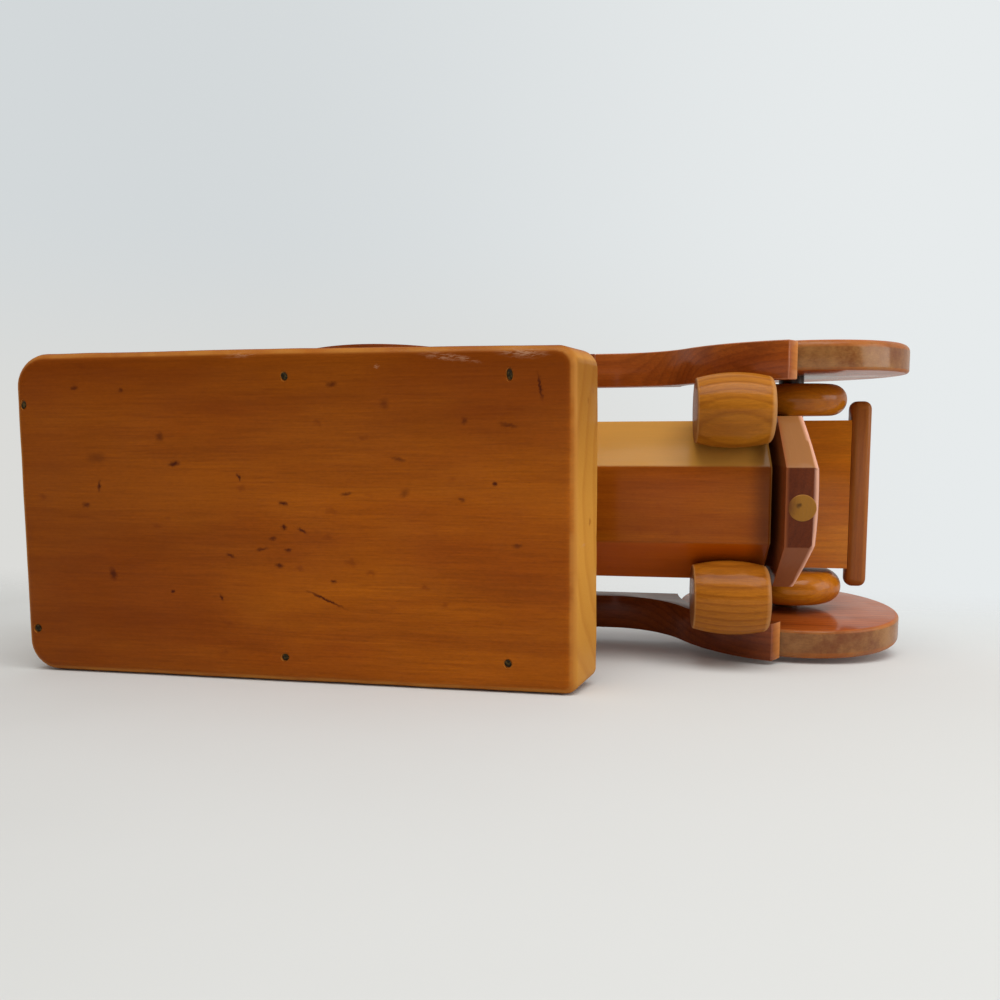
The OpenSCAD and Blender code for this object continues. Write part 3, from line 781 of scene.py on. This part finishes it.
def roof_marks(finish, colour):
    """The roof darker towards its left and rear, the darker right end of its slanted face, its dashes and
    its scuffs.
    """
    place = finish.place()
    along, across, _ = finish.parts(place)
    to_left = across.between(-8, 52) * 0.55
    to_rear = (-1 * along).between(15, 150) * 0.5
    darker_left_and_rear = to_left.maths("MAXIMUM", to_rear) * (1 - finish.stored("rubbed") * 0.85)
    colour = finish.mix(darker_left_and_rear, colour, ROOF_DARK)
    slant_right_end_darker = finish.stored("cut_across") * (-1 * across).between(10, 46)
    colour = finish.mix(slant_right_end_darker * 0.17, colour, ROOF_DARK)
    torn = finish.vectors("MULTIPLY", finish.vectors(
        "SUBTRACT", finish.noise(place, 0.9, 2, output="Color"), (0.5, 0.5, 0.5)), (1.6, 1.2, 0))
    place = finish.vectors("ADD", place, torn)
    scratched = finish.add("ShaderNodeMapping", None, {
        "Vector": place, "Rotation": (0, 0, radians(24)), "Scale": (0.3, 2.6, 1)})
    ragged = finish.noise(scratched, 1, 2).between(0.4, 0.62)
    kinds = ((DASHES, DASH_COLOUR, DASH_STRENGTH), (SCUFFS, SCUFF_COLOUR, ragged))
    for spots, paint, patchy in kinds:
        for along, across, half_along, half_across, angle, strength in spots:
            middle = (roof_low.x / MM + along, across, roof_high.z / MM)
            half = (half_along * MARK_SPREAD, half_across * MARK_SPREAD, MARK_DEPTH)
            mark = finish.oval(place, middle, half, angle)
            colour = finish.mix(mark * min(0.95, strength) * patchy, colour, paint)
    return colour


roof_finish = wood("roof_pine", ROOF_TONES, pith=(8, 62), ring=7.5, seed=310, figure=0.16, bare=ROOF_BARE,
                   rubbing=0.65, gloss=0.12, marks=0.5, cut=ROOF_CUT, cut_rings=0.22, used=roof_marks,
                   contrast=0.36)
deliver(roof_slab, roof_finish, "car", ["roof"], cut_from=0.4, cut_to=0.92,
        flats=[UP, -UP, ACROSS, -ACROSS, -ALONG, roof_front_out])

# %% [markdown]
# The hood is one block with two long slopes sawn off its top. Pushing the block's top edges inwards
# would do as well, but the saw works from the flat's width and the shoulder's height, as a joiner
# does. The front ends of the flat and slopes are eased, and the long ridges stay crisp.

# %% Hood block
hood_low, hood_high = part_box("hood")
radiator_low, radiator_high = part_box("radiator")
HOOD_FLAT = 13.3 * MM
HOOD_SHOULDER = 78.9 * MM
HOOD_EASE = 1.2 * MM
CRISP_EDGE = 0.6 * MM
hood_block = block("hood_block", hood_low, hood_high)
slope_width = hood_high.y - HOOD_FLAT
slope_height = hood_high.z - HOOD_SHOULDER
for side in (1, -1):
    slope_out = Vector((0, side * slope_height, slope_width)).normalized()
    saw(hood_block, Vector((0, side * HOOD_FLAT, hood_high.z)), slope_out)


def is_hood_front(edge):
    place = middle_of(edge)
    return is_sharp(edge) and place.x > hood_high.x - NEAR and place.z > HOOD_SHOULDER


sand(hood_block, HOOD_EASE, is_hood_front, steps=6)
sand(hood_block, CRISP_EDGE, steps=3)
print("hood block", [round(size / MM, 1) for size in hood_high - hood_low], "mm")

# %% Hood finish
HOOD_BARE = seen(196, 132, 66)
LIT_LEFT_SLOPE = seen(198, 148, 66)
RIGHT_SLOPE = seen(196, 84, 2)
RADIATOR_SHADE_TONE = seen(62, 26, 8)


def beyond_ridge(across):
    """1 where across, in mm towards one side, is past the ridge between the hood's flat and slope."""
    return across.between(HOOD_FLAT / MM - 0.4, HOOD_FLAT / MM + 0.6)


def hood_marks(finish, colour):
    """The hood's left slope is painted light gold as lit from above, its right one is orange, and its front
    end is painted dark as the shade by the radiator.
    """
    along, across, _ = finish.parts(finish.place())
    # Painted light: the left slope, which faces the window, is made paler gold
    colour = finish.mix(beyond_ridge(across) * 0.68, colour, LIT_LEFT_SLOPE)
    colour = finish.mix(beyond_ridge(-1 * across) * 0.5, colour, RIGHT_SLOPE)
    # Painted shade: the hood's front end darkens next to the radiator
    shade_by_radiator = along.between(hood_high.x / MM - 9, hood_high.x / MM - 2)
    return finish.mix(shade_by_radiator * 0.6, colour, RADIATOR_SHADE_TONE)


hood_finish = wood("hood_pine", HONEY, pith=(0, 20), ring=3.2, seed=120, figure=0.3, bare=HOOD_BARE,
                   gloss=0.25, marks=0.35, cut=PALE_CUT, used=hood_marks)
deliver(hood_block, hood_finish, "car", ["hood"], full_turn=30)

# %% [markdown]
# The radiator board has the hood's outline with a shade more all round, and its front bows forward. A
# wide cylinder is the bow already, so the board is sawn out of one. Its front top edge took the
# knocks and is rubbed through to pink, and its top facets have faded. Painted light sits on it too:
# the left facet and the pink edge are made paler as lit, and the rear face paler as bounce light.

# %% Radiator board
RADIATOR_BOW = 3.2 * MM
BOW_MIDDLE = 4 * MM
BOW_STEPS = 512
RADIATOR_SHOULDER = 82.7 * MM
FRONT_WEAR = 2.2 * MM
BOARD_EDGE = 0.5 * MM
RADIATOR_SLICES = [(ALONG, 2 * MM), (ACROSS, 3 * MM)]
radiator_half = radiator_high.y
bow_half = radiator_half + BOW_MIDDLE
bow_radius = (bow_half ** 2 + RADIATOR_BOW ** 2) / (2 * RADIATOR_BOW)
bpy.ops.object.select_all(action="DESELECT")
bpy.ops.mesh.primitive_cylinder_add(
    vertices=BOW_STEPS, radius=bow_radius, depth=radiator_high.z - radiator_low.z,
    location=(radiator_high.x - bow_radius, BOW_MIDDLE, (radiator_high.z + radiator_low.z) / 2))
radiator_board = bpy.context.object
radiator_board.name = "radiator_board"
settle(radiator_board)
saw(radiator_board, Vector((radiator_low.x, 0, 0)), -ALONG)
radiator_flats = [UP, -UP, ACROSS, -ACROSS, ALONG, -ALONG]
for side in (1, -1):
    saw(radiator_board, Vector((0, side * radiator_half, 0)), side * ACROSS)
    rise = radiator_high.z - RADIATOR_SHOULDER
    facet_out = Vector((0, side * rise, radiator_half - HOOD_FLAT)).normalized()
    saw(radiator_board, Vector((0, side * HOOD_FLAT, radiator_high.z)), facet_out)
    radiator_flats += [facet_out, (facet_out + UP).normalized(), (facet_out + side * ACROSS).normalized()]


def is_front_top(edge):
    place = middle_of(edge)
    at_front = place.x > radiator_high.x - RADIATOR_BOW - 2 * NEAR
    return is_sharp(edge) and at_front and place.z > RADIATOR_SHOULDER and not runs(edge, ALONG)


sand(radiator_board, FRONT_WEAR, is_front_top, clamped=False)
sand(radiator_board, BOARD_EDGE)
for axis, slice_width in RADIATOR_SLICES:
    lattice(radiator_board, axis, slice_width)
print("radiator board", [round(size / MM, 1) for size in radiator_high - radiator_low], "mm")

# %% Radiator finish
RADIATOR_TONES = (seen(66, 24, 6), seen(90, 37, 10), seen(104, 46, 16))
FADED_AND_LIT_LEFT = seen(158, 106, 58)
FADED_RIGHT = seen(158, 94, 60)
BOUNCE_LIT_REAR = seen(150, 80, 40)
RUBBED_AND_LIT_PINK = seen(222, 166, 140)


def faded_facets(finish, colour):
    """The radiator's two top facets have faded, and the left one is painted paler still as lit. Its rear
    face is painted paler as bounce light, and its front edge is rubbed to pink with a painted highlight.
    """
    along, across, _ = finish.parts(finish.place())
    left = across.between(HOOD_FLAT / MM - 0.3, HOOD_FLAT / MM + 0.3)
    right = (-1 * across).between(HOOD_FLAT / MM - 0.3, HOOD_FLAT / MM + 0.3)
    # Both facets faded; the left one is painted paler still as lit by the window
    colour = finish.mix(left * 0.8, colour, FADED_AND_LIT_LEFT)
    colour = finish.mix(right * 0.6, colour, FADED_RIGHT)
    # Painted bounce light: the rear face in the groove by the hood is made paler
    lit_rear = along.between(radiator_low.x / MM + 1.5, radiator_low.x / MM)
    colour = finish.mix(lit_rear * 0.7, colour, BOUNCE_LIT_REAR)
    # The rubbed front edge is pink, painted paler as a highlight too
    at_front = along.between(radiator_high.x / MM - 7.5, radiator_high.x / MM - 6)
    return finish.mix(finish.stored("rubbed") * at_front * 0.95, colour, RUBBED_AND_LIT_PINK)


radiator_finish = wood("radiator_stain", RADIATOR_TONES, grain="Z", pith=(30, 20), ring=2.4, figure=0.2,
                       rubbing=0, gloss=0.25, marks=0.2, used=faded_facets)
deliver(radiator_board, radiator_finish, "car", ["radiator"], grain=UP,
        flats=radiator_flats)

# %% [markdown]
# Plug, wheels, hubs and collars are discs with rounded rims. A bevel could round a plain cylinder, but
# a list of stations lets the two rims differ, and the lathe takes it as it is.


# %% Discs with rounded rims
def lay(piece, axis, place):
    """Lays a piece that was turned round Z along another axis."""
    piece.rotation_euler = UP.rotation_difference(axis).to_euler()
    piece.location = place
    return settle(piece)


def rim(radius, width, round_low, round_high, steps=7):
    """Stations of a disc from height 0 to width whose two rims are rounded."""
    low = [(round_low * (1 - cos(t)), radius - round_low * (1 - sin(t)))
           for t in (pi / 2 * k / steps for k in range(steps + 1))]
    high = [(width - round_high * (1 - sin(t)), radius - round_high * (1 - cos(t)))
            for t in (pi / 2 * k / steps for k in range(steps + 1))]
    return low + high


# %% [markdown]
# A dowel closes the hole in the radiator's top. It shows its end grain, and stain has run over its
# rear edge. Its rings are seen end on, so its grain runs up.

# %% Radiator plug
PLUG_RISE = 0.15 * MM
PLUG_RIM = 0.3 * MM
PLUG_CUT = seen(146, 98, 34)
PLUG_STAIN = seen(92, 46, 20)
PLUG_FLECK = seen(66, 38, 16)
plug_low, plug_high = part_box("radiator_cap")
plug_radius = (plug_high.x - plug_low.x) / 2
plug_middle = (plug_low + plug_high) / 2
plug_depth = plug_high.z - plug_low.z
plug_profile = rim(plug_radius, plug_depth + PLUG_RISE, PLUG_RIM, PLUG_RIM)
radiator_plug = turn("radiator_plug", plug_profile, steps=64)
lay(radiator_plug, UP, (plug_middle.x, 0, plug_low.z))


def plug_marks(finish, colour):
    """Stain that ran over the plug's rear edge, and a dark fleck."""
    place = finish.place()
    wobble = finish.vectors("MULTIPLY", finish.noise(place, 0.7, 2, output="Color"), (1.6, 1.6, 0))
    place = finish.vectors("ADD", place, wobble)
    centre = plug_middle.x / MM
    depth = plug_high.z / MM
    stain = finish.oval(place, (centre - 5.0, 1.6, depth), (6.0, 6.4, 20), 20)
    fleck = finish.oval(place, (centre - 0.2, 1.6, depth), (1.3, 1.0, 20), 30)
    colour = finish.mix(stain * 0.9, colour, PLUG_STAIN)
    return finish.mix(fleck * 0.8, colour, PLUG_FLECK)


plug_finish = wood("plug_dowel", DOWEL, grain="Z", pith=(1, 2), ring=1.3, figure=0.35, rubbing=0.3,
                   cut=PLUG_CUT, cut_rings=0.15, gloss=0.2, used=plug_marks)
deliver(radiator_plug, plug_finish, "car", ["radiator_cap"], full_turn=13, grain=UP)

# %% [markdown]
# Both sides of the car are alike, so the left piece is mirrored for the right. A Mirror modifier would
# keep both halves in one mesh, but each headlight and each wheel is a piece of its own. A mirrored
# mesh is inside out, so its normals are worked out again.


# %% A twin for the other side
def other_side(piece, name):
    """A copy of a left-hand piece for the car's right side, with its own mesh."""
    twin = piece.copy()
    twin.data = piece.data.copy()
    twin.name = name
    twin.data.name = name
    bpy.context.scene.collection.objects.link(twin)
    twin.scale = (1, -1, 1)
    settle(twin)
    bpy.ops.object.mode_set(mode="EDIT")
    bpy.ops.mesh.select_all(action="SELECT")
    bpy.ops.mesh.normals_make_consistent(inside=False)
    bpy.ops.object.mode_set(mode="OBJECT")
    return twin


# %% [markdown]
# The headlights are turned barrels, laid on the hood's slopes with a small flat. A squashed sphere
# would be quicker, but its ends wouldn't be flat. So the belly is an arc of a circle between two cut
# ends. The front rims are worn round, and the rear ones are still crisp. The rings show as long lines.

# %% Headlight barrels
lamp_low, lamp_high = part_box("headlight_left")
LAMP_RADIUS = 12.8 * MM
LAMP_END = 11 * MM
LAMP_REAR_RIM = 0.7 * MM
LAMP_FRONT_RIM = 2 * MM
RIM_STEPS = 4
BELLY_STEPS = 16
lamp_length = lamp_high.x - lamp_low.x
lamp_middle = Vector((lamp_low.x, lamp_high.y - LAMP_RADIUS, lamp_high.z - LAMP_RADIUS))
belly_radius = ((lamp_length / 2) ** 2 + (LAMP_RADIUS - LAMP_END) ** 2) / (2 * (LAMP_RADIUS - LAMP_END))


def belly(station):
    """Radius of the barrel at a distance from its rear end."""
    return LAMP_RADIUS - belly_radius + sqrt(belly_radius ** 2 - (station - lamp_length / 2) ** 2)


def lamp_rim(size):
    """Stations of a rounded rim that starts at the barrel's end face."""
    turns = [pi / 2 * k / RIM_STEPS for k in range(RIM_STEPS + 1)]
    return [(size * (1 - cos(t)), belly(size) - size * (1 - sin(t))) for t in turns]


stations = [lamp_length * k / BELLY_STEPS for k in range(1, BELLY_STEPS)]
side_wall = [(s, belly(s)) for s in stations if LAMP_REAR_RIM < s < lamp_length - LAMP_FRONT_RIM]
front_rim = [(lamp_length - station, radius) for station, radius in reversed(lamp_rim(LAMP_FRONT_RIM))]
headlight_barrel_left = turn("headlight_barrel_left", lamp_rim(LAMP_REAR_RIM) + side_wall + front_rim)
lay(headlight_barrel_left, ALONG, lamp_middle)
slope_out = Vector((0, slope_height, slope_width)).normalized()
saw(headlight_barrel_left, Vector((0, HOOD_FLAT, hood_high.z)), -slope_out)
headlight_barrel_right = other_side(headlight_barrel_left, "headlight_barrel_right")
print("headlights", round(2 * LAMP_RADIUS / MM, 1), "mm thick")

# %% Headlight finish
LAMP_BARE = seen(200, 148, 92)
LAMP_CUT = seen(136, 84, 42)
LEFT_LAMP_TONES = (seen(112, 52, 5), seen(152, 84, 12), seen(170, 104, 24))
# Painted shade: the right headlight, under the hood, takes a darker copy of the tones
SHADED_RIGHT_LAMP_TONES = (seen(108, 48, 5), seen(146, 80, 12), seen(162, 96, 22))
for piece, node, tones, pith, seed in (
        (headlight_barrel_left, "headlight_left", LEFT_LAMP_TONES, (44, 78), 200),
        (headlight_barrel_right, "headlight_right", SHADED_RIGHT_LAMP_TONES, (-52, 98), 500)):
    lamp_finish = wood(node + "_pine", tones, pith=pith, ring=2.5, seed=seed, figure=0.42, gloss=0.25,
                       bare=LAMP_BARE, marks=0.25, cut=LAMP_CUT)
    deliver(piece, lamp_finish, "car", [node])

# %% [markdown]
# The wheels are plain discs, lacquered on their faces, and bored for their axle's dowel. Rolling has
# worn the treads down to dirty grey-brown wood. A second material on the tread would end in a hard
# line, so one finish shows both, by the mask of how far a face turns outwards from the wheel's side.

# %% Wheels
wheel_low, wheel_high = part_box("front_wheel_left")
wheel_radius = (wheel_high.z - wheel_low.z) / 2
wheel_width = wheel_high.y - wheel_low.y
WHEEL_INNER_RIM = 1.2 * MM
WHEEL_OUTER_RIM = 2.8 * MM
AXLE_BORE = 4.85 * MM
WHEEL_TONES = (seen(96, 36, 8), seen(150, 66, 18), seen(170, 84, 30))
WHEEL_BARE = seen(186, 104, 48)
WORN_TREAD = (seen(104, 56, 24), seen(150, 106, 58))
for end in ("front", "rear"):
    low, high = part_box(end + "_wheel_left")
    axle_x = (low.x + high.x) / 2
    disc_profile = rim(wheel_radius, wheel_width, WHEEL_INNER_RIM, WHEEL_OUTER_RIM)
    disc = turn(end + "_disc_left", disc_profile, steps=144)
    lay(disc, ACROSS, (axle_x, low.y, wheel_radius))
    bore = turn("bore", [(-1 * MM, AXLE_BORE), (wheel_width + 1 * MM, AXLE_BORE)], steps=48)
    drill(disc, lay(bore, ACROSS, (axle_x, low.y, wheel_radius)))
    for piece, side in ((disc, "left"), (other_side(disc, end + "_disc_right"), "right")):
        wheel_finish = wood(end + "_" + side + "_wheel_stain", WHEEL_TONES, pith=(20, 150),
                            bare=WHEEL_BARE, rubbing=0.45, gloss=0.65, rolled=WORN_TREAD)
        deliver(piece, wheel_finish, end + "_wheels", [end + "_wheel_" + side],
                full_turn=13)

# %% [markdown]
# Between the chassis and each wheel sits a turned spacer, a rounded hub at the front and a plain
# collar at the rear. They differ in their rims alone, so one loop turns both kinds.

# %% Hubs and collars
HUB_RIM = 6 * MM
COLLAR_RIM = 3 * MM
HUB_TONES = (seen(136, 64, 6), seen(176, 100, 12), seen(190, 118, 24))
# Each kind: its word, its node, its rims, its tones, its grain, the body that it rides on and its slot
TURNED = [("hub", "front_hub", HUB_RIM, HUB_TONES, "X", "front_wheels", "honey_pine"),
          ("collar", "rear_collar", COLLAR_RIM, DOWEL, "Y", "rear_wheels", "bare_dowel")]
for word, node, rim_size, tones, grain, body, slot in TURNED:
    low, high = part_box(node + "_left")
    stations = rim((high.z - low.z) / 2, high.y - low.y, rim_size, rim_size, steps=10)
    spacer = turn("turned_" + word + "_left", stations, steps=112)
    lay(spacer, ACROSS, ((low.x + high.x) / 2, low.y, wheel_radius))
    for piece, side in ((spacer, "left"), (other_side(spacer, "turned_" + word + "_right"), "right")):
        turned_finish = wood(side + "_" + word + "_wood", tones, grain=grain, pith=(10, 110), ring=2.4,
                             rubbing=0, figure=0.2, marks=0.2)
        deliver(piece, turned_finish, body, [node + "_" + side])

# %% [markdown]
# The bumper is a slim bar across the chassis's end. One bevel would round its ends and its long edges
# alike, so the four short edges at its ends are rounded first and wider, and then all the others.

# %% Bumper bar
BUMPER_END = 3.4 * MM
BUMPER_EDGE = 2.6 * MM
BUMPER_TONES = (seen(88, 36, 8), seen(136, 70, 20), seen(150, 82, 28))
bumper_low, bumper_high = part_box("front_bumper")
bumper_bar = block("bumper_bar", bumper_low, bumper_high)
sand(bumper_bar, BUMPER_END, lambda e: is_sharp(e) and runs(e, ALONG), steps=8)
sand(bumper_bar, BUMPER_EDGE, steps=6)
bumper_finish = wood("bumper_stain", BUMPER_TONES, grain="Y", figure=0.2, rubbing=0.15, marks=0.3)
deliver(bumper_bar, bumper_finish, "car", ["front_bumper"], full_turn=15,
        grain=ACROSS)

# %% [markdown]
# The other boards have their outline in the frame already: the band-sawn fenders, the cab walls with
# their windows, the chassis with its bores. Drawing them again would only repeat it. A node's mesh is
# loose triangles, so each board starts as a merged copy, and its edges are sanded.

# %% A copy of a node
MERGE_WITHIN = 0.002 * MM
FLAT_WITHIN = radians(0.8)


def copy_of_node(name, node):
    """A merged copy of a CAD node's loose triangles, with its flat faces whole again."""
    piece = bpy.data.objects.new(name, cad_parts[node].data.copy())
    piece.data.name = name
    piece.data.materials.clear()
    bpy.context.scene.collection.objects.link(piece)
    only(piece)
    bpy.ops.object.mode_set(mode="EDIT")
    bpy.ops.mesh.select_all(action="SELECT")
    bpy.ops.mesh.remove_doubles(threshold=MERGE_WITHIN)
    bpy.ops.mesh.dissolve_limited(angle_limit=FLAT_WITHIN)
    bpy.ops.object.mode_set(mode="OBJECT")
    return piece


# %% Sawn boards
CHASSIS_TONES = (seen(142, 66, 4), seen(180, 96, 5), seen(190, 112, 18))
# Painted light: the left fenders face the window and take a lighter copy of the red-brown tones
LIT_FENDER_TONES = (seen(96, 38, 8), seen(146, 68, 17), seen(164, 86, 28))
HONEY_WORN = (seen(190, 128, 60), PALE_CUT)
FENDER_WORN = (seen(210, 150, 116), seen(196, 126, 66))
# Each board: its piece, its node, its tones, its rounding in mm, and the end that shows its cut
HONEY_BOARDS = [
    ("chassis_board", "chassis", CHASSIS_TONES, 0.8, 0), ("cab_floor_board", "cab_floor", HONEY, 0.5, 0),
    ("left_cab_wall", "cab_side_left", HONEY, 0.6, 0), ("right_cab_wall", "cab_side_right", HONEY, 0.6, 0),
    ("rear_cab_wall", "cab_rear_panel", HONEY, 0.6, 0), ("dash_board", "dash_panel", HONEY, 0.5, 0),
]
RED_BROWN_BOARDS = [
    ("left_front_fender", "front_fender_left", LIT_FENDER_TONES, 2.2, 1),
    ("right_front_fender", "front_fender_right", RED_BROWN, 2.2, 1),
    ("left_rear_fender", "rear_fender_left", LIT_FENDER_TONES, 0.9, -1),
    ("right_rear_fender", "rear_fender_right", RED_BROWN, 0.9, -1),
    ("left_running_board", "running_board_left", RED_BROWN, 0.9, 0),
    ("right_running_board", "running_board_right", RED_BROWN, 0.9, 0),
]
for boards, slot, (bare, cut) in ((HONEY_BOARDS, "honey_pine", HONEY_WORN),
                                  (RED_BROWN_BOARDS, "red_brown_stain", FENDER_WORN)):
    for number, (name, node, tones, edge_width, end) in enumerate(boards):
        piece = copy_of_node(name, node)
        sand(piece, edge_width * MM, steps=3)
        board_finish = wood(node + "_wood", tones, pith=(30, 90), seed=70 * number, bare=bare, cut=cut,
                            cut_rings=0.12)
        deliver(piece, board_finish, "car", [node], full_turn=30, cut_from=0.72, cut_to=0.84,
                end=end)

# %% [markdown]
# The dowels, axles and bumper brads are plain round stock that hardly shows. Their nodes are right as
# they are, so they stay and only get a finish. The axles' finish is dark as painted shade.

# %% Dowels and axles
# Painted shade: the axles are dark, where they sit in shadow between hubs and wheels
SHADED_AXLE_TONES = (seen(50, 26, 10), seen(84, 50, 24), seen(98, 62, 32))
dowel_finish = wood("dowel_wood", DOWEL, grain="Y", pith=(2, 1), ring=1.4)
shaded_axle_finish = wood("axle_wood", SHADED_AXLE_TONES, grain="Y", pith=(2, 1), ring=1.4)
NODE_FINISHES = {"headlight_pins": dowel_finish, "board_dowels": dowel_finish, "front_axle": shaded_axle_finish,
                 "rear_axle": shaded_axle_finish, "bumper_brads": iron}
for node, finish in NODE_FINISHES.items():
    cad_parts[node].data.materials.clear()
    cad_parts[node].data.materials.append(finish.material)
print("nodes that keep their mesh:", sorted(NODE_FINISHES))

# %% The view transform, and the end
bpy.context.scene.view_settings.view_transform = "Standard"
